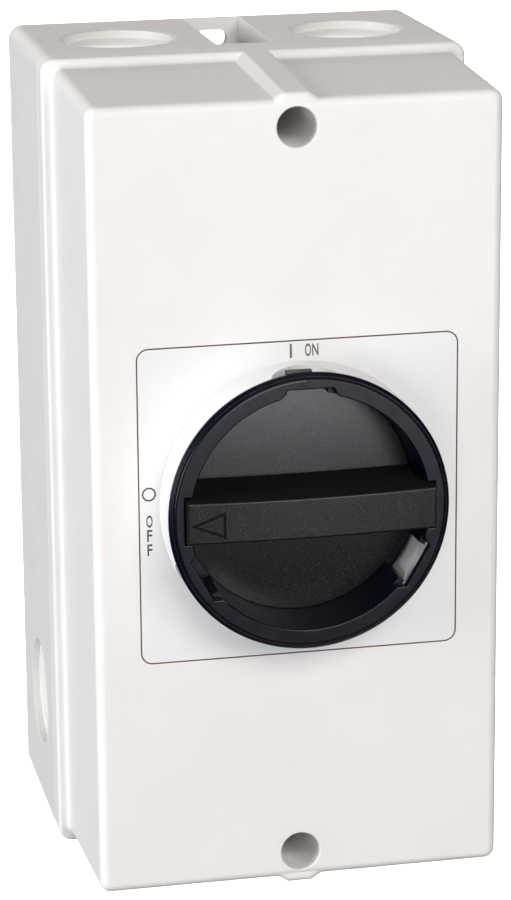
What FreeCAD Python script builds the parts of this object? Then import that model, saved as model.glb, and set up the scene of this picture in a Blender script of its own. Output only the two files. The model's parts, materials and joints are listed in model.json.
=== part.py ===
"""Rotary isolator switch in a tall plastic enclosure with a padlockable round handle.

Row frame: X to the viewer's right, Z up, the front faces -Y.  The wall face of the
enclosure is the plane y = 0 and the origin is its centre.  Every "depth" below is a
distance in front of the wall, so depth 10 is the plane y = -10.
"""
import FreeCAD, Part
import math
import os
import re
import Sketcher
from FreeCAD import Placement, Rotation, Vector

SIZES = {
    # enclosure outlines, measured across the outside
    "back_width": 119.3, "back_height": 228.6, "rim_width": 120.3, "rim_height": 229.3,
    "outline_corner": 3.9, "base_depth": 56.6, "flange_end": 64.2, "front_depth": 115.7,
    "root_width": 114.4, "root_height": 224.5, "face_width": 113.3, "face_height": 220.3,
    "shell_wall": 3.0, "back_wall": 3.5, "face_wall": 3.2, "face_edge": 2.4, "soft_edge": 0.8,
    "seam_edge": 0.4, "flange_edge": 1.0, "cove": 1.5,
    # meeting rims of base and cover
    "ledge_start": 50.6, "mouth_half_x": 51.6, "mouth_half_z": 106.6, "step_half_x": 14.0,
    "step_z": 94.5, "seal_out": 4.0, "seal_in": 1.6, "seal_floor": 54.4, "seal_top": 55.9,
    "tongue_top": 56.1, "tongue_play": 0.5,
    # wall fixing channels and cover screws, on the centre line
    "channel_half": 8.4, "channel_floor": 104.4, "channel_back": 2.5, "channel_wall": 2.4,
    "channel_low": 97.4, "fixing_height": 108.3, "fixing_half": 2.1, "fixing_radius": 2.5,
    "driver_radius": 3.2, "screw_height": 102.6, "well_radius": 5.5, "well_tube": 7.4,
    "well_floor": 66.5, "screw_radius": 2.0, "screw_end": 44.0, "screw_head": 4.2,
    "ridge_rear": 114.6, "ridge_front": 111.9, "ridge_top_half": 3.4, "ridge_foot_half": 6.1,
    "ridge_end": 115.4, "ridge_soft": 1.2, "ridge_tip": 1.8,
    # knockouts
    "knock_radius": 15.6, "knock_flare": 17.3, "knock_chamfer": 0.5, "knock_sink": 2.5,
    "knock_x": 33.2, "knock_depth": 32.3,
    "knock_ring_out": 13.1, "knock_ring_in": 12.3, "knock_ring_sink": 0.4,
    "side_knock_z": -79.6, "side_knock_depth": 31.0, "grip_low": -107.2, "grip_high": -103.2,
    "grip_depth": 8.2, "grip_radius": 1.55, "grip_sink": 1.3,
    # front plate and collar, about the operating axis
    "axis_z": 0.5, "plate_side": 88.0, "plate_corner": 3.0, "plate_gap": 0.4, "plate_thick": 1.2,
    "collar_outer": 38.7, "collar_inner": 35.3, "collar_rise": 11.9, "sleeve_outer": 37.2,
    "sleeve_play": 0.4, "disc_back": 107.6, "disc_front": 110.0, "hub_play": 0.05,
    "scoop_radius": 9.0, "scoop_rise": 4.8, "scoop_turn": 2.0, "tab_rise": 10.0, "tab_top": 38.95,
    "clamp_outer": 45.0, "clamp_inner": 20.0, "clamp_back": 104.6,
    # handle: rises are counted from the cover's face
    "ring_rise": 14.4, "ring_under": 12.2, "rim_rise": 12.9, "rim_radius": 38.6,
    "rim_slope": 0.7, "ring_radius": 37.4, "groove_radius": 37.6, "groove_rise": 12.6,
    "lip_edge": 0.35, "notch_outer_half": 6.35, "notch_lip_half": 8.3, "lip_radius": 32.85,
    "dish_radius": 32.0, "floor_rise": -2.0, "floor_back": 111.6, "dish_back": 110.4,
    "dish_outer": 34.5, "dome": 1.2, "notch_radius": 34.3, "window_width": 11.2,
    "bar_half_length": 34.1, "bar_front_half": 5.6, "bar_root_half": 7.1, "bar_crown_rise": 18.8,
    "bar_crown_radius": 330.0, "bar_seat_rise": 6.5, "seat_play": 0.25, "hub_radius": 10.0,
    "hub_end": 92.0, "arrow_line": 0.7, "arrow_sink": 0.45,
    # switch block, stacked in front of the mounting plate
    "plate_back": 12.0, "plate_front": 14.0, "foot_front": 17.0, "stage_thick": 19.0,
    "stage_half_x": 37.0, "rear_stage_half_z": 44.0, "front_stage_half_z": 33.0, "web_thick": 2.0,
    "latch_thick": 13.0, "latch_half": 25.0, "lid_thick": 3.0, "shaft_side": 8.0,
    "shaft_end": 99.0, "socket_play": 0.3, "cam_high": 12.0, "cam_travel": 3.0, "cam_play": 0.15,
    "nose_radius": 1.5, "pole_x": 22.0, "bolt_z": 20.0, "bolt_radius": 2.0,
}
WINDOWS = (90, 210, -30)           # padlock windows at 12, 8 and 4 o'clock, in degrees
SIDES = (1, -1)

doc = FreeCAD.newDocument("isolator")
sheet = doc.addObject("Spreadsheet::Sheet", "Sizes")
for row, (alias, dimension) in enumerate(SIZES.items(), 1):
    sheet.set("A%d" % row, alias)
    sheet.set("B%d" % row, str(dimension))
    sheet.setAlias("B%d" % row, alias)
doc.recompute()

ALIASES = re.compile(r"\b(%s)\b" % "|".join(sorted(SIZES, key=len, reverse=True)))
ALONG_DEPTH = Rotation(Vector(1, 0, 0), 90)        # turns a primitive's own Z towards the viewer
nodes = []


# ---------------------------------------------------------------- building blocks

def size(alias):
    """The number that the sheet holds now."""
    return float(sheet.get(alias))


def bind(thing, prop, formula):
    """Tie one property to the sheet."""
    thing.setExpression(prop, ALIASES.sub(r"Sizes.\1", str(formula)))


def place(thing, x, depth, z, rotation=Rotation()):
    """Put a thing's own origin at x, depth in front of the wall and z."""
    thing.Placement = Placement(Vector(), rotation)
    bind(thing, "Placement.Base.x", x)
    bind(thing, "Placement.Base.y", "-(%s)" % depth)
    bind(thing, "Placement.Base.z", z)
    return thing


def span(sign, inner, outer, origin="0"):
    """Low and high ends of a stretch that starts and stops on one side of an origin."""
    if sign > 0:
        return "%s + (%s)" % (origin, inner), "%s + (%s)" % (origin, outer)
    return "%s - (%s)" % (origin, outer), "%s - (%s)" % (origin, inner)


def rod(radius, back, front, x=0, z=0):
    """A round bar along the depth, from one depth to a larger one."""
    bar = doc.addObject("Part::Cylinder", "rod")
    bind(bar, "Radius", radius)
    bind(bar, "Height", "(%s) - (%s)" % (front, back))
    return place(bar, x, back, z, ALONG_DEPTH)


def cone(radius_back, radius_front, back, front, x=0, z=0):
    """A round bar along the depth whose radius changes evenly."""
    bar = doc.addObject("Part::Cone", "cone")
    bind(bar, "Radius1", radius_back)
    bind(bar, "Radius2", radius_front)
    bind(bar, "Height", "(%s) - (%s)" % (front, back))
    return place(bar, x, back, z, ALONG_DEPTH)


def drum(radius, low, high, axis, x=0, depth=0, z=0):
    """A round bar along X or Z, between two places on that axis."""
    bar = doc.addObject("Part::Cylinder", "drum")
    bind(bar, "Radius", radius)
    bind(bar, "Height", "(%s) - (%s)" % (high, low))
    if axis == "x":
        return place(bar, low, depth, z, Rotation(Vector(0, 1, 0), 90))
    return place(bar, x, depth, low)


def block(x_low, x_high, back, front, z_low, z_high):
    """A square block between two places on each axis."""
    brick = doc.addObject("Part::Box", "block")
    bind(brick, "Length", "(%s) - (%s)" % (x_high, x_low))
    bind(brick, "Width", "(%s) - (%s)" % (front, back))
    bind(brick, "Height", "(%s) - (%s)" % (z_high, z_low))
    return place(brick, x_low, front, z_low)


def centred(half_x, back, front, half_z, x=0, z=0):
    """A block centred on x and z."""
    return block("(%s) - (%s)" % (x, half_x), "(%s) + (%s)" % (x, half_x), back, front,
                 "(%s) - (%s)" % (z, half_z), "(%s) + (%s)" % (z, half_z))


def join(*pieces):
    """One shape from several."""
    if len(pieces) == 1:
        return pieces[0]
    whole = doc.addObject("Part::MultiFuse", "join")
    whole.Shapes = list(pieces)
    return whole


def carve(stock, *tools):
    """The stock less every tool."""
    result = doc.addObject("Part::Cut", "carve")
    result.Base = stock
    result.Tool = join(*tools)
    return result


def shared(one, other):
    """What two shapes have in common."""
    result = doc.addObject("Part::Common", "shared")
    result.Base = one
    result.Tool = other
    return result


def outline(width, height, corner, depth, z=0):
    """A sketch of a rounded rectangle in a plane parallel to the wall."""
    sketch = doc.addObject("Sketcher::SketchObject", "outline")
    half_w, half_h, radius = 10.0, 20.0, 2.0
    a, b = half_w - radius, half_h - radius
    lines = [((-a, half_h), (a, half_h)), ((half_w, b), (half_w, -b)),
             ((a, -half_h), (-a, -half_h)), ((-half_w, -b), (-half_w, b))]
    corners = [(a, b, 0), (a, -b, 270), (-a, -b, 180), (-a, b, 90)]
    for (start, end), (cx, cz, first) in zip(lines, corners):
        sketch.addGeometry(Part.LineSegment(Vector(*start, 0), Vector(*end, 0)))
        circle = Part.Circle(Vector(cx, cz, 0), Vector(0, 0, 1), radius)
        sketch.addGeometry(Part.ArcOfCircle(circle, math.radians(first), math.radians(first + 90)))
    tie = Sketcher.Constraint
    for side in range(4):
        line, arc, following = 2 * side, 2 * side + 1, (2 * side + 2) % 8
        sketch.addConstraint(tie("Tangent", line, 2, arc, 2))
        sketch.addConstraint(tie("Tangent", arc, 1, following, 1))
        sketch.addConstraint(tie("Horizontal" if side % 2 == 0 else "Vertical", line))
        if side:
            sketch.addConstraint(tie("Equal", 1, arc))
    sketch.addConstraint(tie("Symmetric", 1, 3, 5, 3, -1, 1))
    measures = (("across", tie("DistanceX", 6, 1, 2, 1, 2 * half_w), width),
                ("tall", tie("DistanceY", 4, 1, 0, 1, 2 * half_h), height),
                ("rounding", tie("Radius", 1, radius), corner))
    for name, constraint, formula in measures:
        sketch.renameConstraint(sketch.addConstraint(constraint), name)
        bind(sketch, "Constraints.%s" % name, formula)
    return place(sketch, 0, depth, z, ALONG_DEPTH)


def loft(back_sketch, front_sketch):
    """A solid between two outlines."""
    solid = doc.addObject("Part::Loft", "loft")
    solid.Sections = [back_sketch, front_sketch]
    solid.Solid = True
    solid.Ruled = True
    return solid


def slab(width, height, corner, back, front, z=0):
    """A rounded rectangular slab parallel to the wall."""
    return loft(outline(width, height, corner, back, z), outline(width, height, corner, front, z))


def rounded(stock, radius_alias, wanted):
    """Round every edge of the stock for which wanted(edge) holds."""
    doc.recompute()
    picked = [n for n, edge in enumerate(stock.Shape.Edges, 1) if wanted(edge)]
    result = doc.addObject("Part::Fillet", "rounded")
    result.Base = stock
    result.Edges = [(n, size(radius_alias), size(radius_alias)) for n in picked]
    return result


def at_depth(depth, slack=0.05):
    """Whether an edge lies wholly in the plane at a depth."""
    return lambda edge: abs(edge.BoundBox.YMin + depth) < slack and abs(edge.BoundBox.YMax + depth) < slack


def solid_of(shape, label="shape"):
    """A document object around a shape that code has made."""
    feature = doc.addObject("Part::Feature", label)
    feature.Shape = shape
    return feature


def finish(label, piece):
    """Name a finished sub-part; its label is its file's name."""
    piece.Label = label
    nodes.append(piece)
    return piece


def group(label, pieces):
    """Several like solids in one sub-part."""
    holder = doc.addObject("Part::Compound", "group")
    holder.Links = list(pieces)
    return finish(label, holder)


def screw(x, z, tip, seat, shank, head, head_high, drive=0.8):
    """A slotted cheese-head screw whose head sits on the seat depth."""
    top = "(%s) + (%s)" % (seat, head_high)
    body = join(rod(shank, tip, "(%s) + 0.2" % seat, x, z), rod(head, seat, top, x, z))
    slot = centred("(%s) + 1" % head, "(%s) - 1" % top, "(%s) + 1" % top, drive / 2, x, z)
    return carve(body, slot)


# ---------------------------------------------------------------- base

def mouth(grow, back, front):
    """The opening that base and cover share: a rectangle stepped in round the screw bosses."""
    opening = centred("mouth_half_x + (%s)" % grow, back, front, "mouth_half_z + (%s)" % grow)
    half = "(step_half_x - (%s))" % grow
    steps = [block("-%s" % half, half, back, front, *span(s, "step_z + (%s)" % grow, "mouth_half_z + 20"))
             for s in SIDES]
    return carve(opening, *steps)


def knockout(kind, x, z, side):
    """The sunk disc and its ring of a knockout on the top, the bottom or a side wall."""
    if kind == "side":
        wall, axis = "rim_width / 2", "x"
    else:
        wall, axis = "rim_height / 2", "z"
    depth = "side_knock_depth" if kind == "side" else "knock_depth"

    def sunk(radius, sink):
        low, high = "%s - %s" % (wall, sink), "%s + 2" % wall
        if side < 0:
            low, high = "-(%s)" % high, "-(%s)" % low
        return drum(radius, low, high, axis, x, depth, z)

    deep = "knock_sink + knock_ring_sink"
    ring = carve(sunk("knock_ring_out", deep), sunk("knock_ring_in", "%s + 1" % deep))
    flare = doc.addObject("Part::Cone", "flare")
    bind(flare, "Radius1", "knock_radius")
    bind(flare, "Radius2", "knock_flare")
    bind(flare, "Height", "knock_chamfer")
    inner = "%d * (%s - knock_chamfer)" % (side, wall)
    if axis == "x":
        place(flare, inner, depth, z, Rotation(Vector(0, 1, 0), 90 * side))
    else:
        place(flare, x, depth, inner, Rotation(Vector(1, 0, 0), 90 - 90 * side))
    return [sunk("knock_radius", "knock_sink"), ring, flare]


def side_grip(side):
    """A small sunk obround low on a side wall, close to the wall face."""
    reach = span(side, "rim_width / 2 - grip_sink", "rim_width / 2 + 1")
    ends = [drum("grip_radius", *reach, "x", 0, "grip_depth", z) for z in ("grip_low", "grip_high")]
    middle = block(*reach, "grip_depth - grip_radius", "grip_depth + grip_radius", "grip_low", "grip_high")
    return join(middle, *ends)


def base_housing():
    outer = loft(outline("back_width", "back_height", "outline_corner", 0),
                 outline("rim_width", "rim_height", "outline_corner", "base_depth"))
    outer = rounded(outer, "soft_edge", at_depth(0))
    outer = rounded(outer, "seam_edge", at_depth(size("base_depth")))
    hollow = slab("back_width - 2 * shell_wall", "back_height - 2 * shell_wall", "2",
                  "back_wall", "ledge_start")
    tub = carve(outer, hollow, mouth(0, "ledge_start - 1", "base_depth + 1"))
    added, cuts = [], []
    for s in SIDES:
        added.append(block("-(channel_half + channel_wall)", "channel_half + channel_wall",
                           "back_wall - 1", "ledge_start + 1",
                           *span(s, "channel_low", "back_height / 2 - 1")))
        cuts.append(block("-channel_half", "channel_half", "channel_back", "screw_end - 3",
                          *span(s, "channel_floor", "rim_height / 2 + 2")))
        cuts.append(block("-channel_half", "channel_half", "screw_end - 4", "ledge_start",
                          *span(s, "channel_floor + 1.9", "rim_height / 2 + 2")))
        height = "%d * fixing_height" % s
        cuts.append(centred("fixing_half", -1, "channel_back + 1", "fixing_radius", 0, height))
        cuts += [rod("fixing_radius", -1, "channel_back + 1", "%d * fixing_half" % side, height)
                 for side in SIDES]
        cuts.append(rod("driver_radius", "ledge_start - 1", "base_depth + 1", 0, height))
        cuts.append(rod("screw_radius + 0.1", "screw_end - 1", "base_depth + 1", 0,
                        "%d * screw_height" % s))
        for side in SIDES:
            cuts += knockout("end", "%d * knock_x" % side, 0, s)
            added.append(rod(4.5, "back_wall - 1", "plate_back", 44 * side, "axis_z + %d" % (48 * s)))
            cuts.append(rod(1.5, "back_wall + 1.5", "plate_back + 1", 44 * side, "axis_z + %d" % (48 * s)))
        cuts += knockout("side", 0, "side_knock_z", s)
        cuts.append(side_grip(s))
        added.append(block(36 * s - 9, 36 * s + 9, "back_wall - 1", "plate_back", 65, 81))
        cuts += [rod(1.4, "back_wall + 1.5", "plate_back + 1", 36 * s + 4.5 * side, 73) for side in SIDES]
    groove = carve(mouth("seal_out", "seal_floor", "base_depth + 1"),
                   mouth("seal_in", "seal_floor - 1", "base_depth + 2"))
    finish("base_housing", carve(join(tub, *added), groove, *cuts))


def cover_gasket():
    finish("cover_gasket", carve(mouth("seal_out - 0.3", "seal_floor", "seal_top"),
                                 mouth("seal_in + 0.3", "seal_floor - 1", "seal_top + 1")))


# ---------------------------------------------------------------- cover

def ridge(side):
    """The tapered ridge on the top or bottom wall that holds a cover screw's well."""
    root_depth, face_depth = size("flange_end") - 3, size("front_depth")
    root, face = size("root_height") / 2, size("face_height") / 2
    foot_half, top_half = size("ridge_foot_half"), size("ridge_top_half")

    def section(depth, top):
        wall = root + (face - root) * (depth - root_depth) / (face_depth - root_depth)
        spread = foot_half + (foot_half - top_half) / (top - wall)
        corners = [(-spread, wall - 1), (spread, wall - 1), (top_half, top), (-top_half, top)]
        points = [Vector(x, -depth, side * z) for x, z in corners]
        return Part.makePolygon(points + points[:1])
    end = size("ridge_end")
    solid = Part.makeLoft([section(size("flange_end") - 2, size("ridge_rear")),
                           section(end, size("ridge_front"))], True, True)
    long_edges = [edge for edge in solid.Edges
                  if edge.BoundBox.YLength > 20 and abs(edge.CenterOfMass.x) < size("ridge_top_half") + 0.5]
    solid = solid.makeFillet(size("ridge_soft"), long_edges)
    tip = [edge for edge in solid.Edges if at_depth(end)(edge) and side * edge.CenterOfMass.z > face - 0.5]
    return solid_of(solid.makeFillet(size("ridge_tip"), tip))


def cover_shell():
    flange = slab("rim_width", "rim_height", "outline_corner", "base_depth", "flange_end")
    flange = rounded(flange, "flange_edge", at_depth(size("flange_end")))
    flange = rounded(flange, "seam_edge", at_depth(size("base_depth")))
    walls = loft(outline("root_width", "root_height", "outline_corner - 0.9", "flange_end - 3"),
                 outline("face_width", "face_height", "outline_corner - 0.9", "front_depth"))
    walls = rounded(walls, "face_edge", at_depth(size("front_depth")))
    hollow = loft(outline("root_width - 2 * shell_wall - 0.2", "root_height - 2 * shell_wall", 2,
                          "flange_end"),
                  outline("face_width - 2 * shell_wall", "face_height - 2 * shell_wall", 2,
                          "front_depth - face_wall"))
    tongue = carve(mouth("seal_out - tongue_play", "tongue_top", "base_depth + 1"),
                   mouth("seal_in + tongue_play", "tongue_top - 1", "base_depth + 2"))
    stepped = rounded(join(flange, walls), "cove", lambda e: at_depth(size("flange_end"))(e)
                      and abs(e.CenterOfMass.x) < size("root_width") / 2 + 0.3
                      and abs(e.CenterOfMass.z) < size("root_height") / 2 + 0.3)
    shell = carve(join(stepped, ridge(1), ridge(-1)), hollow,
                  mouth("1", "base_depth - 1", "flange_end + 0.5"))
    tubes, wells = [], []
    for s in SIDES:
        height = "%d * screw_height" % s
        tubes.append(rod("well_tube", "base_depth", "front_depth - 1", 0, height))
        wells.append(rod("well_radius", "well_floor", "front_depth + 1", 0, height))
        wells.append(rod("screw_radius + 0.3", "base_depth - 1", "well_floor + 1", 0, height))
        wells.append(cone("well_radius - 0.1", "well_radius + 0.4", "front_depth - 0.4",
                          "front_depth + 0.1", 0, height))
    recess = slab("plate_side + 2 * plate_gap", "plate_side + 2 * plate_gap", "plate_corner + plate_gap",
                  "front_depth - plate_thick", "front_depth + 1", "axis_z")
    hole = rod("sleeve_outer + sleeve_play", "front_depth - face_wall - 1", "front_depth + 1", 0, "axis_z")
    finish("cover_shell", carve(join(shell, tongue, *tubes), recess, hole, *wells))


def cover_screws():
    group("cover_screws", [screw(0, "%d * screw_height" % s, "screw_end", "well_floor + 0.9",
                                 "screw_radius", "screw_head", 3.2, 1.0) for s in SIDES])
    group("cover_screw_seals", [carve(rod("screw_head + 0.6", "well_floor", "well_floor + 0.9", 0,
                                          "%d * screw_height" % s),
                                      rod("screw_radius", "well_floor - 1", "well_floor + 2", 0,
                                          "%d * screw_height" % s)) for s in SIDES])


def front_plate():
    sheet_of_plastic = slab("plate_side", "plate_side", "plate_corner", "front_depth - plate_thick",
                            "front_depth", "axis_z")
    finish("front_plate", carve(sheet_of_plastic, rod("sleeve_outer + sleeve_play", "front_depth - 5",
                                                      "front_depth + 1", 0, "axis_z")))


def collar():
    ring = carve(rod("collar_outer", "front_depth", "front_depth + collar_rise", 0, "axis_z"),
                 rod("collar_inner", "front_depth - 1", "front_depth + 20", 0, "axis_z"))
    ring = rounded(ring, "soft_edge", lambda e: at_depth(size("front_depth") + size("collar_rise"))(e)
                   and e.BoundBox.XLength > 2 * size("collar_inner") + 1)
    sleeve = carve(rod("sleeve_outer", "disc_back", "front_depth + 0.5", 0, "axis_z"),
                   rod("collar_inner", "disc_front", "front_depth + 20", 0, "axis_z"),
                   rod("hub_radius + hub_play", "disc_back - 1", "disc_front + 1", 0, "axis_z"),
                   *[rod(1.0, "disc_back - 1", "disc_back + 1.9", "27 * cos(%d)" % (45 + 90 * n),
                         "axis_z + 27 * sin(%d)" % (45 + 90 * n)) for n in range(4)])
    body = join(ring, sleeve)
    doc.recompute()
    scoops = []
    for angle in WINDOWS:
        bite = Part.makeCylinder(size("scoop_radius"), 8, Vector(33.5, 0, 0), Vector(1, 0, 0))
        height = size("front_depth") + size("scoop_rise") + size("scoop_radius")
        centre = Vector(0, -height, size("axis_z"))
        bite.Placement = Placement(centre, Rotation(Vector(0, -1, 0), angle + size("scoop_turn")))
        scoops.append(solid_of(bite, "scoop"))
    return finish("collar", carve(body, *scoops))


def lock_tab(ring):
    """The dark tongue across the upper scoop, over the place for a shackle."""
    low, high = "front_depth + tab_rise", "front_depth + collar_rise"

    band = carve(rod("collar_inner + 1.1", low, high, 0, "axis_z"),
                 rod("collar_inner", "disc_back", "front_depth + ring_rise", 0, "axis_z"))
    root = shared(band, block(-9.3, 4, low, high, "axis_z + 30", "axis_z + 40"))
    tongue = block(-6, 1, low, high, "axis_z + collar_inner + 0.2", "axis_z + tab_top")
    finish("lock_tab", carve(join(root, tongue), ring))


def collar_clamp():
    ring = join(rod("clamp_outer", "clamp_back", "disc_back", 0, "axis_z"),
                carve(rod("clamp_outer", "clamp_back", "front_depth - face_wall", 0, "axis_z"),
                      rod("sleeve_outer + sleeve_play", "clamp_back - 1", "front_depth", 0, "axis_z")))
    spots = [("27 * cos(%d)" % (45 + 90 * n), "axis_z + 27 * sin(%d)" % (45 + 90 * n)) for n in range(4)]
    finish("collar_clamp", carve(ring, rod("clamp_inner", "clamp_back - 1", "disc_back + 1", 0, "axis_z"),
                                 *[rod(1.4, "clamp_back - 1", "disc_back + 1", x, z) for x, z in spots]))
    screws = []
    for x, z in spots:
        head = rod(2.4, "clamp_back - 1.6", "clamp_back", x, z)
        screws.append(join(rod(1.0, "clamp_back - 0.2", "disc_back + 1.9", x, z), head))
    group("collar_screws", screws)


# ---------------------------------------------------------------- handle

def handle_ring():
    """The smooth outer shell: a drafted cup wall under a wide front ring with three notches."""
    front = "front_depth + ring_rise"
    face = rounded(rod("ring_radius", "front_depth + ring_under", front, 0, "axis_z"), "soft_edge",
                   at_depth(size("front_depth") + size("ring_rise")))
    rim = carve(join(rod("rim_radius", "front_depth + ring_under", "front_depth + rim_rise", 0, "axis_z"),
                     cone("rim_radius", "groove_radius + 0.15", "front_depth + rim_rise",
                          "front_depth + rim_rise + rim_slope", 0, "axis_z")),
                carve(rod("groove_radius", "front_depth + groove_rise", front, 0, "axis_z"),
                      rod("ring_radius", "front_depth", front, 0, "axis_z")))
    cup = rod("dish_outer", "dish_back", front, 0, "axis_z")
    flare = "(lip_radius - dish_radius) / (%s - floor_back)" % front
    bore = cone("dish_radius", "lip_radius + %s" % flare, "floor_back", "%s + 1" % front, 0, "axis_z")
    flange = rod(27, "dish_back - 1", "floor_back + 1", 0, "axis_z")
    body = carve(join(carve(join(face, rim), rod("dish_outer - 1", "front_depth", front, 0, "axis_z")), cup),
                 bore, flange)
    doc.recompute()
    openings = []
    half = size("window_width") / 2
    floor, top = size("front_depth") + size("floor_rise"), size("front_depth") + size("ring_rise")
    under = size("front_depth") + size("ring_under")
    wide, narrow, reach = size("notch_lip_half"), size("notch_outer_half"), size("notch_radius")
    side = [(26, wide), (reach - 2.8, wide), (reach - 1.7, narrow + 0.85), (reach, narrow)]
    corners = [Vector(x, -(top + 1), z) for x, z in side + [(x, -z) for x, z in reversed(side)]]
    for angle in WINDOWS:
        notch = Part.Face(Part.makePolygon(corners + corners[:1])).extrude(Vector(0, top - under + 2, 0))
        gap = Part.makeBox(12, under - floor, 2 * half, Vector(26, -under, -half))
        both = notch.fuse(gap)
        both.Placement = Placement(Vector(0, 0, size("axis_z")), Rotation(Vector(0, -1, 0), angle))
        openings.append(solid_of(both, "window"))
    seats = [centred("5", "front_depth + bar_seat_rise - seat_play", "%s + 1" % front,
                     "bar_front_half + 0.9", "%d * (bar_half_length + seat_play - 5)" % s, "axis_z")
             for s in SIDES]
    pilots = [rod(1.1, "dish_back - 1", "floor_back + 1", "29.5 * cos(%d)" % a,
                  "axis_z + 29.5 * sin(%d)" % a)
              for a in (30, 150, 270)]
    sinks = [rod(2.1, "dish_back - 1", "dish_back + 0.6", "29.5 * cos(%d)" % a,
                 "axis_z + 29.5 * sin(%d)" % a) for a in (30, 150, 270)]
    ring = carve(body, *openings, *seats, *pilots, *sinks)
    finish("handle_ring", rounded(ring, "lip_edge", lambda e: at_depth(top)(e) and e.BoundBox.XLength < 70))


def grip_bar():
    """The crowned bar: wide at its root, narrow at the front, with tabs that rest in the ring."""
    z = size("axis_z")
    floor = size("front_depth") + size("floor_rise") - 1
    top = size("front_depth") + size("bar_crown_rise")
    seat = size("front_depth") + size("bar_seat_rise")

    def stretch(half_length, back, half_back, front, half_front):
        def frame(half_z, depth):
            corners = [(-half_length, -half_z), (half_length, -half_z), (half_length, half_z),
                       (-half_length, half_z)]
            points = [Vector(x, -depth, z + dz) for x, dz in corners]
            return Part.makePolygon(points + points[:1])
        return Part.makeLoft([frame(half_back, back), frame(half_front, front)], True, True)

    def half_at(depth):
        share = (depth - floor) / (top - floor)
        return size("bar_root_half") + share * (size("bar_front_half") - size("bar_root_half"))

    middle = stretch(size("dish_radius") - 1.1, floor, half_at(floor), top, half_at(top))
    tabs = stretch(size("bar_half_length"), seat, half_at(seat), top, half_at(top))
    crown = Part.makeCylinder(size("bar_crown_radius"), 40,
                              Vector(0, -(top - size("bar_crown_radius")), -20), Vector(0, 0, 1))
    bar = middle.fuse(tabs).common(crown).removeSplitter()
    front_edges = [e for e in bar.Edges if e.BoundBox.YMax < -(size("front_depth") + 15)]
    bar = bar.makeFillet(0.5, front_edges)
    return solid_of(bar, "bar")


def arrow_groove():
    """A thin outlined triangle that points to the operating position."""
    tip, back, half, drop = -33.4, -24.0, 3.8, 0.6
    middle = size("axis_z") - drop
    top = size("front_depth") + size("bar_crown_rise")
    line = size("arrow_line")

    def triangle(inset):
        slope = math.hypot(back - tip, half) / half
        corners = [(tip + inset * slope, 0), (back - inset, half - inset * 1.65),
                   (back - inset, -half + inset * 1.65)]
        points = [Vector(x, -top - 1, middle + dz) for x, dz in corners]
        face = Part.Face(Part.makePolygon(points + points[:1]))
        return face.extrude(Vector(0, 6, 0))
    sunk = size("bar_crown_radius") - size("arrow_sink")
    core = Part.makeCylinder(sunk, 40, Vector(0, -(top - size("bar_crown_radius")), -20), Vector(0, 0, 1))
    return solid_of(triangle(0).cut(triangle(line)).cut(core), "arrow")


def dished_floor():
    """The round floor of the handle, slightly domed towards the front."""
    edge, reach = size("front_depth") + size("floor_rise"), size("dish_radius") - 0.05
    crown, back = edge + size("dome"), size("floor_back")
    bend = (reach ** 2 + size("dome") ** 2) / (2 * size("dome"))
    middle = crown - bend + math.sqrt(bend ** 2 - reach ** 2 / 4)
    corners = [Vector(x, -depth, size("axis_z"))
               for x, depth in ((0, crown), (reach / 2, middle), (reach, edge), (reach, back), (0, back))]
    top = Part.Arc(*corners[:3]).toShape()
    sides = Part.makePolygon(corners[2:] + corners[:1]).Edges
    face = Part.Face(Part.Wire([top] + sides))
    return solid_of(face.revolve(Vector(0, 0, size("axis_z")), Vector(0, 1, 0), 360), "floor")


def handle_grip():
    """Domed dish floor, crowned bar and hub in one moulding."""
    floor = dished_floor()
    hub = rod("hub_radius", "hub_end", "floor_back + 1", 0, "axis_z")
    socket = rod(7, "hub_end - 1", "hub_end + 13", 0, "axis_z")
    seal_seat = carve(rod(11, 108.1, 109.5, 0, "axis_z"), rod(8.6, 108, 109.6, 0, "axis_z"))
    clip_seat = carve(rod(11, 106.2, 107.2, 0, "axis_z"), rod(8.4, 106, 107.4, 0, "axis_z"))
    pilots = [rod(0.9, "floor_back - 1", "floor_back + 1.6", "29.5 * cos(%d)" % a,
                  "axis_z + 29.5 * sin(%d)" % a) for a in (30, 150, 270)]
    finish("handle_grip", carve(join(floor, hub, grip_bar()), socket, seal_seat, clip_seat,
                                arrow_groove(), *pilots))
    group("grip_screws", [join(rod(0.9, "dish_back + 0.3", "floor_back + 1.6", "29.5 * cos(%d)" % a,
                                   "axis_z + 29.5 * sin(%d)" % a),
                               rod(2.0, "dish_back", "dish_back + 0.6", "29.5 * cos(%d)" % a,
                                   "axis_z + 29.5 * sin(%d)" % a)) for a in (30, 150, 270)])


def handle_fittings():
    """Seal, clip and square socket on the handle's hub."""
    seal = doc.addObject("Part::Torus", "seal")
    bind(seal, "Radius1", "hub_radius - 0.7")
    bind(seal, "Radius2", 0.69)
    finish("hub_seal", place(seal, 0, 108.8, "axis_z", ALONG_DEPTH))
    clip = carve(rod(13, 106.3, 107.1, 0, "axis_z"), rod(8.5, 106, 107.4, 0, "axis_z"),
                 centred(5, 106, 107.4, 8, 0, "axis_z - 12"))
    finish("hub_clip", clip)
    half = "shaft_side / 2 + socket_play"
    finish("shaft_socket", carve(rod(6.98, "hub_end", "hub_end + 13", 0, "axis_z"),
                                 centred(half, "hub_end - 1", "hub_end + 11", half, 0, "axis_z")))


# ---------------------------------------------------------------- switch block

STAGES = (("1", "foot_front", "rear_stage_half_z"),
          ("2", "foot_front + stage_thick", "front_stage_half_z"))
LATCH = "foot_front + 2 * stage_thick"


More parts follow.
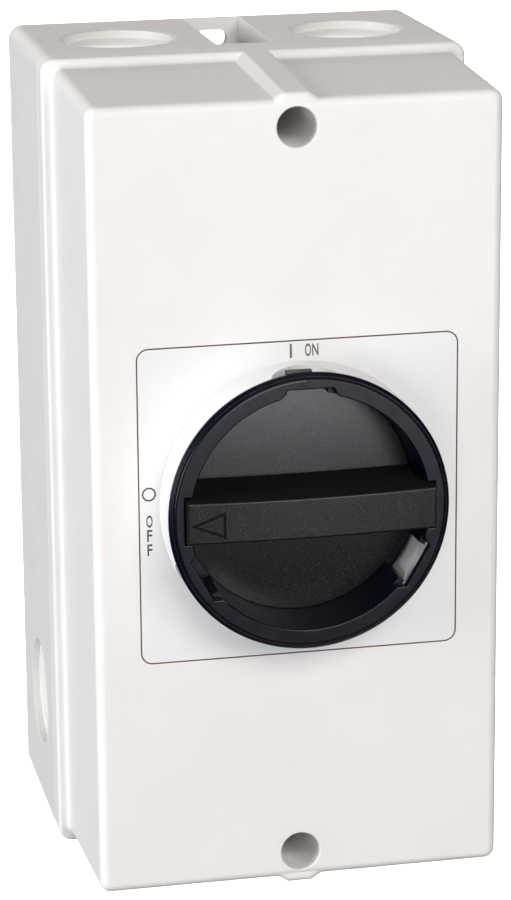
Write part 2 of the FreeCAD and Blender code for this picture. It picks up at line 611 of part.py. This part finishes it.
def mounting_plate():
    tray = centred(50, "plate_back", "plate_front", 55, 0, "axis_z")
    holes = [rod(2.1, "plate_back - 1", "plate_front + 1", 44 * sx, "axis_z + %d" % (48 * sz))
             for sx in SIDES for sz in SIDES]
    foot_holes = [rod(1.7, "plate_back - 1", "plate_front + 1", 42 * s, "axis_z") for s in SIDES]
    finish("mounting_plate", carve(tray, *holes, *foot_holes))
    group("plate_screws", [screw(44 * sx, "axis_z + %d" % (48 * sz), "back_wall + 2", "plate_front",
                                 1.5, 3.4, 2.2) for sx in SIDES for sz in SIDES])


def foot_plate():
    foot = centred(46, "plate_front", "foot_front", 26, 0, "axis_z")
    holes = [rod(1.8, "plate_front - 1", "foot_front + 1", 42 * s, "axis_z") for s in SIDES]
    bolts = [rod("bolt_radius", "plate_front - 1", "foot_front + 1", 0, "axis_z + %d * bolt_z" % s)
             for s in SIDES]
    pivot = rod(6.3, "plate_front + 1", "foot_front + 1", 0, "axis_z")
    finish("foot_plate", carve(foot, pivot, *holes, *bolts))
    group("foot_screws", [screw(42 * s, "axis_z", "plate_back", "foot_front", 1.6, 3.2, 2.0)
                          for s in SIDES])


def contact_stage(name, back, half_z):
    """A moulded chamber for two poles, open to the front."""
    front = "%s + stage_thick" % back
    web = "%s + web_thick" % back
    body = centred("stage_half_x", back, front, half_z, 0, "axis_z")
    cuts = [rod(13.5, web, "%s + 1" % front, 0, "axis_z"),
            rod(6.3, "%s - 1" % back, "%s + 1" % web, 0, "axis_z"),
            centred(34.5, web, "%s + 1" % front, 5.2, 0, "axis_z")]
    cuts += [rod("bolt_radius + 0.2", "%s - 1" % back, "%s + 1" % front, 0, "axis_z + %d * bolt_z" % s)
             for s in SIDES]
    for sx in SIDES:
        cuts.append(centred(8, web, "%s + 1" % front, 18, "%d * 26.5" % sx, "axis_z"))
        for sz in SIDES:
            spot = ("%d * (pole_x + 1)" % sx, "axis_z + %d * (%s - 6.5)" % (sz, half_z))
            cuts.append(centred(5.6, "%s + 3" % web, "%s + 13" % web, "(%s - 14) / 2" % half_z,
                                "%d * (pole_x + 1)" % sx, "axis_z + %d * (%s + 18) / 2" % (sz, half_z)))
            cuts.append(rod(4.3, "%s + 10" % web, "%s + 1" % front, *spot))
    finish("contact_stage_%s" % name, carve(body, *cuts))


def fixed_contacts(name, back, half_z):
    """Terminal strip, contact tip, saddle clamp and clamp screw of each pole end."""
    web = "%s + web_thick" % back
    strips, clamps, screws = [], [], []
    for sx in SIDES:
        for sz in SIDES:
            upright = block(*span(sx, 18.5, 20), "%s + 4" % web, "%s + 12" % web,
                            *span(sz, 9, 19.4, "axis_z"))
            tab = block(*span(sx, 18.5, 27.6), "%s + 8.4" % web, "%s + 10" % web,
                        *span(sz, 18.4, "%s - 1.5" % half_z, "axis_z"))
            tip = drum(2.2, *span(sx, 19.9, 20.6), "x", 0, "%s + 8" % web, "axis_z + %d * 12" % sz)
            spot = ("%d * (pole_x + 1)" % sx, "axis_z + %d * (%s - 6.5)" % (sz, half_z))
            strips.append(carve(join(upright, tab, tip), rod(1.9, "%s + 7" % web, "%s + 11" % web, *spot)))
            saddle = carve(centred(4.2, "%s + 4.4" % web, "%s + 6" % web, 3.8, *spot),
                           rod(1.9, "%s + 4" % web, "%s + 7" % web, *spot))
            clamps.append(saddle)
            screws.append(screw(*spot, "%s + 4.4" % web, "%s + 10" % web, 1.85, 3.6, 2.4))
    group("fixed_contacts_%s" % name, strips)
    group("terminal_clamps_%s" % name, clamps)
    group("terminal_screws_%s" % name, screws)


def cam_profile(back, front):
    """Two opposed spirals that let the contacts close, each followed by a rise back."""
    high, low = size("cam_high"), size("cam_high") - size("cam_travel")
    points = []
    steps = 15
    for half in range(2):
        for n in range(2 * steps):
            turn = n / steps
            share = turn if turn <= 1 else 2 - turn
            radius = high - (high - low) * share
            angle = math.pi * half + turn * math.pi / 2
            points.append(Vector(radius * math.cos(angle), -back, size("axis_z") + radius * math.sin(angle)))
    spans = []
    for quarter in range(4):
        arc = [points[(quarter * steps + n) % len(points)] for n in range(steps + 1)]
        curve = Part.BSplineCurve()
        curve.interpolate(arc)
        spans.append(curve.toShape())
    return Part.Face(Part.Wire(spans)).extrude(Vector(0, back - front, 0))


def cam(name, back):
    start = size("foot_front") + (0 if name == "1" else size("stage_thick")) + size("web_thick") + 3
    lobe = solid_of(cam_profile(start, start + 9), "lobe")
    hub = rod(6.0, "%s + 0.4" % back, "%s + web_thick + 4" % back, 0, "axis_z")
    bore = centred("shaft_side / 2", "%s - 1" % back, "%s + 25" % back, "shaft_side / 2", 0, "axis_z")
    finish("cam_%s" % name, carve(join(lobe, hub), bore))


def moving_contact(name, back, side, word):
    """Plunger that follows the cam, the copper bridge it carries and the spring behind it."""
    web = "%s + web_thick" % back
    gap = "(cam_high + cam_play)"

    nose = "%s + nose_radius" % gap
    body = join(block(*span(side, nose, 27.4), "%s + 3.2" % web, "%s + 12" % web,
                      "axis_z - 4.6", "axis_z + 4.6"),
                rod("nose_radius", "%s + 3.2" % web, "%s + 12" % web, "%d * (%s)" % (side, nose), "axis_z"),
                drum(1.6, *span(side, 27, 29.5), "x", 0, "%s + 7.6" % web, "axis_z"))
    slot = block(*span(side, 24.3, 25.9), "%s + 4" % web, "%s + 11.2" % web, "axis_z - 6", "axis_z + 6")
    finish("plunger_%s_%s" % (name, word), carve(body, slot))
    bar = block(*span(side, 24.3, 25.9), "%s + 4" % web, "%s + 11.2" % web, "axis_z - 15.5", "axis_z + 15.5")
    tips = [drum(2.2, *span(side, 23.7, 24.4), "x", 0, "%s + 8" % web, "axis_z + %d * 12" % s)
            for s in SIDES]
    finish("contact_bridge_%s_%s" % (name, word), join(bar, *tips))
    spring(name, size("foot_front") + (0 if name == "1" else size("stage_thick")) + size("web_thick") + 7.6,
           side, word)


def spring(name, depth, side, word):
    """A compression spring between the plunger and the chamber wall."""
    start, end, coil_radius, wire = 27.65, 34.3, 2.3, 0.25
    pitch = (end - start - 2 * wire) / 5
    helix = Part.makeHelix(pitch, end - start - 2 * wire, coil_radius)
    profile = Part.Wire(Part.makeCircle(wire, Vector(coil_radius, 0, 0), Vector(0, 1, 0)))
    coil = Part.Wire(helix).makePipeShell([profile], True, True)
    coil.Placement = Placement(Vector(side * (start + wire), -depth, size("axis_z")),
                               Rotation(Vector(0, 0, 1), Vector(side, 0, 0)))
    finish("contact_spring_%s_%s" % (name, word), solid_of(coil, "spring"))


def drive_shaft():
    square = centred("shaft_side / 2", "plate_front + 1.2", "shaft_end", "shaft_side / 2", 0, "axis_z")
    journal = rod(6.0, "%s + latch_thick - 2" % LATCH, "%s + latch_thick + lid_thick + 1" % LATCH, 0,
                  "axis_z")
    doc.recompute()
    finish("drive_shaft", join(rounded(square, "soft_edge", at_depth(size("shaft_end"))), journal))


def latch():
    """Detent that holds the shaft at off and on: a squared wheel between two leaf springs."""
    front = "%s + latch_thick" % LATCH
    web = "%s + web_thick" % LATCH
    housing = centred("latch_half", LATCH, front, "latch_half", 0, "axis_z")
    cuts = [rod(12.5, web, "%s + 1" % front, 0, "axis_z"),
            rod(6.3, "%s - 1" % LATCH, "%s + 1" % web, 0, "axis_z"),
            centred(10.2, web, "%s + 1" % front, 17, 0, "axis_z")]
    cuts += [rod("bolt_radius + 0.2", "%s - 1" % LATCH, "%s + 1" % front, 0, "axis_z + %d * bolt_z" % s)
             for s in SIDES]
    finish("latch_housing", carve(housing, *cuts))
    wheel = carve(shared(rod(10.5, "%s + 1" % web, "%s + 8" % web, 0, "axis_z"),
                         centred(8.5, "%s + 1" % web, "%s + 8" % web, 8.5, 0, "axis_z")),
                  centred("shaft_side / 2", web, "%s + 9" % web, "shaft_side / 2", 0, "axis_z"))
    finish("detent_wheel", wheel)
    group("detent_springs", [block(*sorted((8.65 * s, 9.35 * s)), "%s + 1.5" % web, "%s + 7.5" % web,
                                   "axis_z - 16.8", "axis_z + 16.8") for s in SIDES])
    lid = carve(centred("latch_half", front, "%s + lid_thick" % front, "latch_half", 0, "axis_z"),
                rod(6.05, "%s - 1" % front, "%s + lid_thick + 1" % front, 0, "axis_z"),
                *[rod("bolt_radius + 0.2", "%s - 1" % front, "%s + lid_thick + 1" % front, 0,
                      "axis_z + %d * bolt_z" % s) for s in SIDES])
    finish("latch_lid", lid)
    group("through_bolts", [screw(0, "axis_z + %d * bolt_z" % s, "plate_front + 0.2",
                                  "%s + lid_thick" % front, "bolt_radius", 3.6, 2.6) for s in SIDES])


def side_terminal(word, x):
    """A brass two-screw terminal on the base for earth or neutral."""
    brass = carve(centred(8, "plate_back", "plate_back + 11", 5.5, x, 73),
                  *[rod(1.4, "plate_back - 1", "plate_back + 12", x + 4.5 * s, 73) for s in SIDES],
                  *[drum(2.3, 60, 90, "z", x + 4.5 * s, "plate_back + 5", 0) for s in SIDES])
    finish("%s_terminal" % word, brass)
    group("%s_terminal_screws" % word,
          [screw(x + 4.5 * s, 73, "back_wall + 2", "plate_back + 11", 1.4, 2.8, 2.0) for s in SIDES])


# ---------------------------------------------------------------- build, check and write

base_housing()
cover_gasket()
cover_shell()
cover_screws()
front_plate()
lock_tab(collar())
collar_clamp()
handle_ring()
handle_grip()
handle_fittings()
mounting_plate()
foot_plate()
for stage_name, stage_back, stage_half_z in STAGES:
    contact_stage(stage_name, stage_back, stage_half_z)
    fixed_contacts(stage_name, stage_back, stage_half_z)
    cam(stage_name, stage_back)
    moving_contact(stage_name, stage_back, 1, "right")
    moving_contact(stage_name, stage_back, -1, "left")
drive_shaft()
latch()
side_terminal("earth", -36)
side_terminal("neutral", 36)

doc.recompute()
for thing in doc.Objects:
    if {"Invalid", "Error"} & set(thing.State):
        raise RuntimeError("%s (%s) failed: %s" % (thing.Name, thing.Label, thing.State))
for node in nodes:
    if node.Shape.isNull() or not node.Shape.isValid() or not node.Shape.Solids:
        raise RuntimeError("%s has no valid solid" % node.Label)
os.makedirs("parts", exist_ok=True)
for node in nodes:
    node.Shape.exportStep("parts/%s.step" % node.Label)
    print("%-26s solids %d volume %.0f" % (node.Label, len(node.Shape.Solids), node.Shape.Volume))
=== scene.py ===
"""Looks for the rotary isolator switch: materials, printed marks, light and camera."""
import json
import math
import bpy
from mathutils import Matrix, Vector


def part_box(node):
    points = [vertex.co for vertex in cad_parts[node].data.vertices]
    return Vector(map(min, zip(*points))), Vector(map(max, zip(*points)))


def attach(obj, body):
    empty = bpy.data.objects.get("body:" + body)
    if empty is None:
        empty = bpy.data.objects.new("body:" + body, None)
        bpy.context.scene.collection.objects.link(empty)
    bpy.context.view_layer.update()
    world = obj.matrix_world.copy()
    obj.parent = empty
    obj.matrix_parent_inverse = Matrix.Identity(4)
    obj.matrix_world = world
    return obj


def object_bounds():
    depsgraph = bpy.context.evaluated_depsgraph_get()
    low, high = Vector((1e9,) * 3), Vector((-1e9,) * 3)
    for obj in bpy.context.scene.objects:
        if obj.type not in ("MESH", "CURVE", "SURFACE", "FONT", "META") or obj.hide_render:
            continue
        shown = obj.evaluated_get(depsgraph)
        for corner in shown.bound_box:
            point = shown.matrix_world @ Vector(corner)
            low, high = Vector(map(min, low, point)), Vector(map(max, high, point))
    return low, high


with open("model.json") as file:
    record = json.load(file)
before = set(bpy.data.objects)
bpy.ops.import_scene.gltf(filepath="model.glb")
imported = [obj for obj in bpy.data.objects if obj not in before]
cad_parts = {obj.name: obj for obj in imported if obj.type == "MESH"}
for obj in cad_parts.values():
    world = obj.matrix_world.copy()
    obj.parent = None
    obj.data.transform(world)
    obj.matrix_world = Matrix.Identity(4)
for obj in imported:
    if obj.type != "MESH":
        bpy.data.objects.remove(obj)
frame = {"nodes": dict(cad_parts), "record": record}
CAD_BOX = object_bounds()
NODES = frame["nodes"]
MM = 0.001
PLATE_LOW, PLATE_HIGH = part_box("front_plate")
FACE_Y = PLATE_LOW.y                                   # the cover's front face
AXIS_Z = (PLATE_LOW.z + PLATE_HIGH.z) / 2              # height of the operating axis
CROWN_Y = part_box("handle_grip")[0].y                   # front of the crowned bar
CROWN_BEND = 660 * MM                                  # twice the radius of the bar's crown
# The walls of the gap round the plate get a brown painted shade; these limits place it.
GAP_REACH = (43.0 * MM, 44.6 * MM)                     # from the axis to the gap round the plate
GAP_DEPTH = (0.06 * MM, 1.3 * MM)                      # behind the cover's front face
# The floor of the engraved arrow's groove gets painted shade; these limits place it.
ARROW_X = (-34 * MM, -22 * MM)
ARROW_Z = (AXIS_Z - 5 * MM, AXIS_Z + 3.6 * MM)
ARROW_DEPTH = (0.2 * MM, 1.0 * MM)                     # behind the crown
KNOCKOUT_DEPTH = 1.6 * MM
KNOCKOUT_EDGE = 0.03 * MM                              # kept clear of the knockout's wall


# ------------------------------------------------------------------ node helpers

class Nodes:
    """A small writer for one material's node tree."""

    def __init__(self, name):
        self.material = bpy.data.materials.new(name)
        self.material.use_nodes = True
        self.tree = self.material.node_tree
        self.shader = self.tree.nodes["Principled BSDF"]
        self.coord = self.add("ShaderNodeTexCoord").outputs["Object"]

    def add(self, kind, **settings):
        node = self.tree.nodes.new(kind)
        for key, setting in settings.items():
            setattr(node, key, setting)
        return node

    def link(self, out, socket):
        self.tree.links.new(out, socket)

    def feed(self, socket, source):
        if isinstance(source, bpy.types.NodeSocket):
            self.link(source, socket)
        else:
            socket.default_value = source

    def math(self, operation, a, b=0.0, c=0.0, clamp=False):
        node = self.add("ShaderNodeMath", operation=operation, use_clamp=clamp)
        for socket, source in zip(node.inputs, (a, b, c)):
            self.feed(socket, source)
        return node.outputs[0]

    def noise(self, size, detail=2.0, rough=0.5, vector=None):
        """Noise whose features are about this size in millimetres."""
        node = self.add("ShaderNodeTexNoise")
        node.inputs["Scale"].default_value = 1.0 / (size * MM)
        node.inputs["Detail"].default_value = detail
        node.inputs["Roughness"].default_value = rough
        self.link(vector or self.coord, node.inputs["Vector"])
        return node.outputs["Fac"]

    def remap(self, source, low, high, out_low, out_high):
        node = self.add("ShaderNodeMapRange")
        self.link(source, node.inputs["Value"])
        node.inputs["From Min"].default_value = low
        node.inputs["From Max"].default_value = high
        node.inputs["To Min"].default_value = out_low
        node.inputs["To Max"].default_value = out_high
        return node.outputs["Result"]

    def mix(self, share, one, other):
        node = self.add("ShaderNodeMix", data_type="RGBA")
        self.feed(node.inputs["Factor"], share)
        colours = [s for s in node.inputs if s.type == "RGBA"]
        self.feed(colours[0], one)
        self.feed(colours[1], other)
        return [s for s in node.outputs if s.type == "RGBA"][0]

    def bump(self, height, distance, strength=1.0, before=None):
        node = self.add("ShaderNodeBump")
        node.inputs["Strength"].default_value = strength
        node.inputs["Distance"].default_value = distance * MM
        self.link(height, node.inputs["Height"])
        if before is not None:
            self.link(before, node.inputs["Normal"])
        return node.outputs["Normal"]

    def position(self):
        """x, y and z of the shaded point, in metres."""
        node = self.add("ShaderNodeSeparateXYZ")
        self.link(self.coord, node.inputs[0])
        return node.outputs

    def vector(self, operation, a, b=None):
        """A vector operation; lengths and products come back as plain numbers."""
        node = self.add("ShaderNodeVectorMath", operation=operation)
        self.feed(node.inputs[0], a)
        if b is not None:
            self.feed(node.inputs[1], b)
        return node.outputs["Value" if operation in ("LENGTH", "DOT_PRODUCT") else "Vector"]

    def normal(self):
        node = self.add("ShaderNodeSeparateXYZ")
        self.link(self.add("ShaderNodeTexCoord").outputs["Normal"], node.inputs[0])
        return node.outputs

    def radius(self):
        """Distance from the operating axis, in metres."""
        x, _, z = self.position()
        dz = self.math("SUBTRACT", z, AXIS_Z)
        squares = self.math("ADD", self.math("MULTIPLY", x, x), self.math("MULTIPLY", dz, dz))
        return self.math("SQRT", squares)

    def between(self, source, low, high):
        """One where the number lies between two limits, else nought."""
        above = self.math("GREATER_THAN", source, low)
        below = self.math("LESS_THAN", source, high)
        return self.math("MULTIPLY", above, below)

    def drift(self, size, detail=2.0, low=0.0, high=1.0):
        """Noise whose usual range is spread between two limits."""
        return self.remap(self.noise(size, detail), 0.3, 0.7, low, high)

    def plate_gap_shade(self):
        """One on the walls of the thin gap round the front plate, where a brown painted shade stands in for
        the shadow down in the gap.
        """
        x, y, z = self.position()
        rise = self.math("ABSOLUTE", self.math("SUBTRACT", z, AXIS_Z))
        reach = self.math("MAXIMUM", self.math("ABSOLUTE", x), rise)
        sunk = self.between(y, FACE_Y + GAP_DEPTH[0], FACE_Y + GAP_DEPTH[1])
        return self.math("MULTIPLY", sunk, self.between(reach, *GAP_REACH))

    def set(self, **constants):
        for key, number in constants.items():
            self.shader.inputs[key.replace("_", " ")].default_value = number

    def colour(self, source):
        self.feed(self.shader.inputs["Base Color"], source)

    def finish(self, normal=None, rough=None):
        if normal is not None:
            self.link(normal, self.shader.inputs["Normal"])
        if rough is not None:
            self.link(rough, self.shader.inputs["Roughness"])
        return self.material


def rgb(*levels):
    """A linear colour from screen levels of 0 to 255."""
    def linear(level):
        share = level / 255
        return share / 12.92 if share <= 0.04045 else ((share + 0.055) / 1.055) ** 2.4
    return tuple(linear(level) for level in levels) + (1.0,)


def moulded(name, dark, light, grain=0.45, depth=0.02, rough=(0.42, 0.55), gloss=0.3, gap=None):
    """Moulded plastic: slow colour drift, fine spark-eroded grain and varied roughness; a gap colour, if
    given, is painted shade on the walls of the gap round the front plate.
    """
    n = Nodes(name)
    tone = n.mix(n.drift(18.0, 3.0), dark, light)
    # Where a gap colour is given, it is painted shade on the walls of the gap round the front plate.
    n.colour(tone if gap is None else n.mix(n.plate_gap_shade(), tone, gap))
    fine = n.noise(grain, 2.0, 0.6)
    n.set(Specular_IOR_Level=gloss)
    return n.finish(n.bump(fine, depth), n.drift(grain * 5, 3.0, *rough))


def base_plastic():
    """The cover's plastic, but polished on the thin floors of the knockouts, and paler there as painted
    light.
    """
    n = Nodes("base_grain")
    body = n.mix(n.drift(18, 3), rgb(229, 226, 223), rgb(232, 229, 226))
    floors = 0.0
    for mount in frame["record"]["mounts"]:
        if mount["kind"] == "bore":
            away = n.vector("SUBTRACT", n.coord, mount["pos_m"])
            along = n.vector("DOT_PRODUCT", away, mount["axis"])
            away_squared = n.math("POWER", n.vector("LENGTH", away), 2.0)
            reach_squared = n.math("SUBTRACT", away_squared, n.math("MULTIPLY", along, along))
            radius = mount["dims"]["r_mm"] * MM - KNOCKOUT_EDGE
            inside = n.math("LESS_THAN", reach_squared, radius ** 2)
            near = n.math("LESS_THAN", n.math("ABSOLUTE", along), KNOCKOUT_DEPTH)
            floors = n.math("MAXIMUM", n.math("MULTIPLY", inside, near), floors)
    # Painted light: the knockout floors get a paler colour to stand in for light showing through them.
    n.colour(n.mix(floors, body, rgb(252, 251, 248)))
    n.set(Specular_IOR_Level=0.5)
    grain = n.math("MULTIPLY", n.noise(0.5, 2.0, 0.6), n.math("SUBTRACT", 1.0, floors))
    rough = n.mix(floors, n.drift(2.5, 3, 0.46, 0.52), (0.12, 0.12, 0.12, 1))
    return n.finish(n.bump(grain, 0.022), rough)


def ring_plastic():
    """Smooth satin black with faint turned lines round the axis."""
    n = Nodes("ring_satin")
    n.colour(n.mix(n.drift(9, 3), rgb(2, 4, 16), rgb(3, 6, 20)))
    lines = n.math("SINE", n.math("MULTIPLY", n.radius(), 2 * math.pi / (0.55 * MM)))
    turned = n.bump(lines, 0.003, 0.3)
    n.set(Specular_IOR_Level=0.18)
    fine = n.bump(n.noise(0.25), 0.003, 0.4, turned)
    return n.finish(fine, n.drift(3.5, 3, 0.27, 0.33))


def grip_plastic():
    """Grained charcoal on what faces the front; the sides of the bar are smoother, and their near-black
    colour is painted shade, as is the dark floor of the engraved arrow's groove.
    """
    n = Nodes("grip_grain")
    facing = n.math("MULTIPLY", n.normal()[1], -1.0)
    front = n.remap(facing, 0.55, 0.9, 0.0, 1.0)
    speck = n.remap(n.noise(0.3, 2.0, 0.7), 0.5, 0.72, 0.0, 1.0)
    x, y, z = n.position()
    sag = n.math("DIVIDE", n.math("MULTIPLY", x, x), CROWN_BEND)
    # Painted shade: the floor of the engraved arrow's groove is darkened to stand in for its shadow.
    sunk = n.between(n.math("SUBTRACT", n.math("SUBTRACT", y, CROWN_Y), sag), *ARROW_DEPTH)
    arrow_shade = n.math("MULTIPLY", n.between(x, *ARROW_X), n.between(z, *ARROW_Z))
    front = n.math("MULTIPLY", front, n.math("SUBTRACT", 1.0, n.math("MULTIPLY", sunk, arrow_shade)))
    grained = n.mix(speck, rgb(1, 1, 2), rgb(54, 53, 57))
    # Painted shade: the sides of the bar get a near-black colour in place of the grained charcoal.
    n.colour(n.mix(front, rgb(3, 3, 4), grained))
    n.set(Specular_IOR_Level=0.2)
    height = n.math("MULTIPLY", n.noise(0.4, 2.0, 0.6), front)
    return n.finish(n.bump(height, 0.03), n.remap(front, 0.0, 1.0, 0.85, 0.31))


def metal(name, base, rough=(0.28, 0.42), scratch=0.6):
    """Plated or turned metal with fine streaks."""
    n = Nodes(name)
    worn = tuple(c * 0.82 for c in base[:3]) + (1,)
    n.colour(n.mix(n.drift(2.5, 4), worn, base))
    n.set(Metallic=1.0)
    return n.finish(n.bump(n.noise(scratch, 3), 0.006), n.drift(1.2, 3, *rough))


def rubber():
    n = Nodes("seal_rubber")
    n.colour(n.mix(n.noise(4, 3), rgb(26, 26, 27), rgb(40, 40, 41)))
    return n.finish(n.bump(n.noise(0.3), 0.01), n.drift(2, low=0.65, high=0.8))


# Brown painted shade for the gap round the front plate, standing in for the shadow in it.
GAP_SHADE = rgb(176, 146, 128)
COVER = moulded("cover_grain", rgb(233, 231, 228), rgb(236, 234, 231), 0.5, 0.02, (0.46, 0.52), 0.3, GAP_SHADE)
BASE = base_plastic()
PLATE = moulded("plate_smooth", rgb(233, 233, 233), rgb(235, 235, 235), 0.3, 0.0015, (0.4, 0.44), 0.15, GAP_SHADE)
COLLAR = moulded("collar_smooth", rgb(229, 228, 227), rgb(232, 231, 230), 0.3, 0.0015, (0.36, 0.42), 0.2)
RING = ring_plastic()
GRIP = grip_plastic()
INNER = moulded("inner_black", rgb(40, 40, 42), rgb(52, 52, 54), 0.4, 0.02)
SWITCH = moulded("switch_black", rgb(38, 38, 40), rgb(50, 50, 52), 0.4, 0.02)
CAM = moulded("cam_cream", rgb(214, 208, 188), rgb(224, 218, 200), 0.4, 0.01)
SCREW = metal("screw_zinc", (0.62, 0.62, 0.6, 1))
STEEL = metal("steel_plated", (0.66, 0.66, 0.67, 1))
BRASS = metal("brass_plain", (0.78, 0.56, 0.28, 1))
RUBBER = rubber()
LOOKS = {"base_plastic": BASE, "cover_plastic": COVER, "plate_plastic": PLATE, "collar_plastic": COLLAR,
         "ring_plastic": RING, "grip_plastic": GRIP, "inner_plastic": INNER, "seal_rubber": RUBBER,
         "cover_screw_steel": SCREW, "steel": STEEL, "zinc_steel": SCREW, "switch_plastic": SWITCH,
         "cam_plastic": CAM, "contact_brass": BRASS, "spring_steel": STEEL}
for part in frame["record"]["subparts"]:
    mesh = NODES[part["node"]].data
    mesh.materials.clear()
    mesh.materials.append(LOOKS[part["material_slot"]])


# ------------------------------------------------------------------ printed marks

def ink():
    n = Nodes("ink")
    n.colour(n.mix(n.noise(0.6, 3), rgb(48, 48, 50), rgb(66, 66, 68)))
    return n.finish(n.bump(n.noise(0.3), 0.003), n.drift(1, low=0.45, high=0.6))


INK = ink()
PRINT = 0.03 * MM


def as_piece(name, mesh, material, body):
    piece = bpy.data.objects.new(name, mesh)
    bpy.context.scene.collection.objects.link(piece)
    mesh.materials.clear()
    mesh.materials.append(material)
    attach(piece, body)
    return piece


def printed_text(name, text, x_low, x_high, z_low, z_high, bold=0.0):
    """One word of print, fitted to a rectangle on the plate given in millimetres."""
    curve = bpy.data.curves.new(name, "FONT")
    curve.body = text
    curve.offset = bold
    curve.extrude = 0.01
    curve.resolution_u = 6
    source = bpy.data.objects.new(name, curve)
    bpy.context.scene.collection.objects.link(source)
    mesh = bpy.data.meshes.new_from_object(source)
    bpy.data.objects.remove(source)
    xs = [v.co.x for v in mesh.vertices]
    ys = [v.co.y for v in mesh.vertices]
    zs = [v.co.z for v in mesh.vertices]
    for v in mesh.vertices:
        across = (v.co.x - min(xs)) / (max(xs) - min(xs))
        up = (v.co.y - min(ys)) / (max(ys) - min(ys))
        out = (v.co.z - min(zs)) / (max(zs) - min(zs))
        v.co = Vector(((x_low + across * (x_high - x_low)) * MM, FACE_Y - out * PRINT,
                       (z_low + up * (z_high - z_low)) * MM))
    return as_piece(name, mesh, INK, "cover")


def printed_ring(name, x, z, outer, inner, steps=64):
    points, faces = [], []
    for out in (0.0, PRINT):
        for radius in (outer, inner):
            for n in range(steps):
                turn = 2 * math.pi * n / steps
                points.append(((x + radius * math.cos(turn)) * MM, FACE_Y - out,
                               (z + radius * math.sin(turn)) * MM))
    for n in range(steps):
        m = (n + 1) % steps
        loops = [0, steps, 3 * steps, 2 * steps]
        for a, b in zip(loops, loops[1:] + loops[:1]):
            faces.append((a + n, a + m, b + m, b + n))
    mesh = bpy.data.meshes.new(name)
    mesh.from_pydata(points, [], faces)
    return as_piece(name, mesh, INK, "cover")


printed_text("mark_on_bar", "I", -2.38, -1.8, 39.97, 43.86)
printed_text("mark_on_word_0", "O", 1.79, 3.45, 40.2, 43.7, 0.016)
printed_text("mark_on_word_1", "N", 3.78, 5.5, 40.25, 43.65, 0.016)
printed_ring("mark_off_ring", -41.42, 4.5, 1.95, 1.5)
OFF_X = -41.4
OFF_WORD = (("O", -4.83, -1.39, 0.87), ("F", -8.78, -5.48, 0.72), ("F", -12.84, -9.54, 0.7))
for index, (letter, low, high, half) in enumerate(OFF_WORD):
    printed_text("mark_off_word_%d" % index, letter, OFF_X - half, OFF_X + half, low, high, 0.016)


# ------------------------------------------------------------------ stage, light and camera

def stage():
    n = Nodes("pale_floor")
    n.colour(n.mix(n.noise(300, 2), (0.93, 0.93, 0.93, 1), (0.95, 0.95, 0.95, 1)))
    material = n.finish(None, n.drift(60, low=0.85, high=0.95))
    mesh = bpy.data.meshes.new("floor")
    reach, low = 12.0, CAD_BOX[0].z - 0.0002
    corners = ((-reach, -reach), (reach, -reach), (reach, reach), (-reach, reach))
    mesh.from_pydata([(x, y, low) for x, y in corners], [], [(0, 1, 2, 3)])
    mesh.materials.append(material)
    floor = bpy.data.objects.new("floor", mesh)
    bpy.context.scene.collection.objects.link(floor)
    return floor


def area_light(name, place, aim, width, height, watts, tint=(1, 1, 1), only=None):
    data = bpy.data.lights.new(name, "AREA")
    data.shape = "RECTANGLE"
    data.size, data.size_y = width, height
    data.energy = watts
    data.color = tint
    lamp = bpy.data.objects.new(name, data)
    bpy.context.scene.collection.objects.link(lamp)
    lamp.location = place
    lamp.rotation_euler = (Vector(aim) - Vector(place)).to_track_quat("-Z", "Y").to_euler()
    if only is not None:
        alone = bpy.data.collections.new(name + "_only")
        alone.objects.link(only)
        lamp.light_linking.receiver_collection = alone
        lamp.light_linking.blocker_collection = alone
    return lamp


FLOOR = stage()                                        # seen by the camera and nothing else
FLOOR.visible_diffuse = False
FLOOR.visible_glossy = False
FLOOR.visible_shadow = False
CENTRE = (0, -0.1, 0)
area_light("key", (0.4, -1.95, 1.15), CENTRE, 1.6, 1.1, 34, (1.0, 0.985, 0.965))
area_light("fill", (-2.2, -0.3, 0.35), (0, -0.06, 0), 1.3, 1.2, 50, (0.95, 0.975, 1.0))
bounce = area_light("bounce", (-0.5, -1.9, -0.55), CENTRE, 1.6, 1.2, 16, (0.97, 0.965, 1.0))
bounce.visible_glossy = False                          # lifts the shadows, with no highlight
area_light("sky", (-0.1, -0.6, 1.9), CENTRE, 1.6, 0.8, 4, (1.0, 0.96, 0.95))
area_light("back", (0.2, 2.0, 0.75), (0, -0.05, 0.05), 2.6, 0.9, 10.5, (1.0, 0.91, 0.9))
card = area_light("card", (0.35, -1.6, 0.02), CENTRE, 0.9, 0.36, 26, (0.95, 0.95, 1.0))
card.visible_diffuse = False                           # gives the black parts their sheen
area_light("floor_wash", (0, 0.5, 3.2), (0, 0.5, 0), 4, 4, 330, (1, 1, 1), FLOOR)
world = bpy.data.worlds.new("studio")
world.use_nodes = True
world.node_tree.nodes["Background"].inputs["Color"].default_value = (0.97, 0.98, 1.0, 1)
world.node_tree.nodes["Background"].inputs["Strength"].default_value = 0.015
bpy.context.scene.world = world
bpy.context.scene.view_settings.view_transform = "Standard"


def camera():
    """A long lens a metre away, a little left of the front and above it."""
    yaw, pitch, roll = math.radians(12.12), math.radians(15.99), math.radians(-0.47)
    forward = Vector((math.sin(yaw) * math.cos(pitch), math.cos(yaw) * math.cos(pitch), -math.sin(pitch)))
    right = Vector((math.cos(yaw), -math.sin(yaw), 0))
    up = right.cross(forward)
    level, lean = math.cos(roll), math.sin(roll)
    right, up = level * right + lean * up, level * up - lean * right
    data = bpy.data.cameras.new("camera")
    data.lens, data.sensor_width = 140.0, 36.0
    data.clip_end = 100
    aim = Vector((2.1, -50.0, -4.3)) * MM
    away = 1.014
    eye = bpy.data.objects.new("camera", data)
    bpy.context.scene.collection.objects.link(eye)
    turn = Matrix((right, up, -forward)).transposed().to_4x4()
    eye.matrix_world = Matrix.Translation(aim - forward * away) @ turn
    bpy.context.scene.camera = eye


camera()
